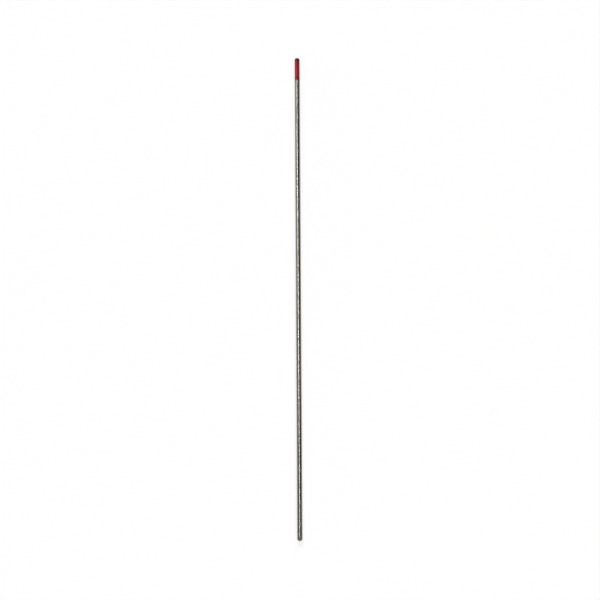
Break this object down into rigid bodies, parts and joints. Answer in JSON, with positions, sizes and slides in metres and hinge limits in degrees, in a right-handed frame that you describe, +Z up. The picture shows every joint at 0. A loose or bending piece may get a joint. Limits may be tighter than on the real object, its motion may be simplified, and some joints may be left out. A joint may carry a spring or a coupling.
{
  "type": "tig tungsten electrode",
  "caption": "Slim straight ground tungsten rod for arc welding with flat, edge-broken ends; its tail end is dipped in thin red lacquer as a colour code.",
  "frame": {"origin": "on the rod's axis at mid-length, in the stretch that a torch's collet grips", "axes": "the rod lies along Y, as on a bench: +Y towards the red tail end, -Y towards the bare working end; +Z is up and +X completes the frame"},
  "size_m": [0.0016, 0.175, 0.0016],
  "materials": {
    "tungsten": "satin",
    "red_lacquer": "gloss"
  },
  "bodies": {
    "root": {"tungsten_rod": "tungsten", "colour_coat": "red_lacquer"}
  },
  "joints": []
}
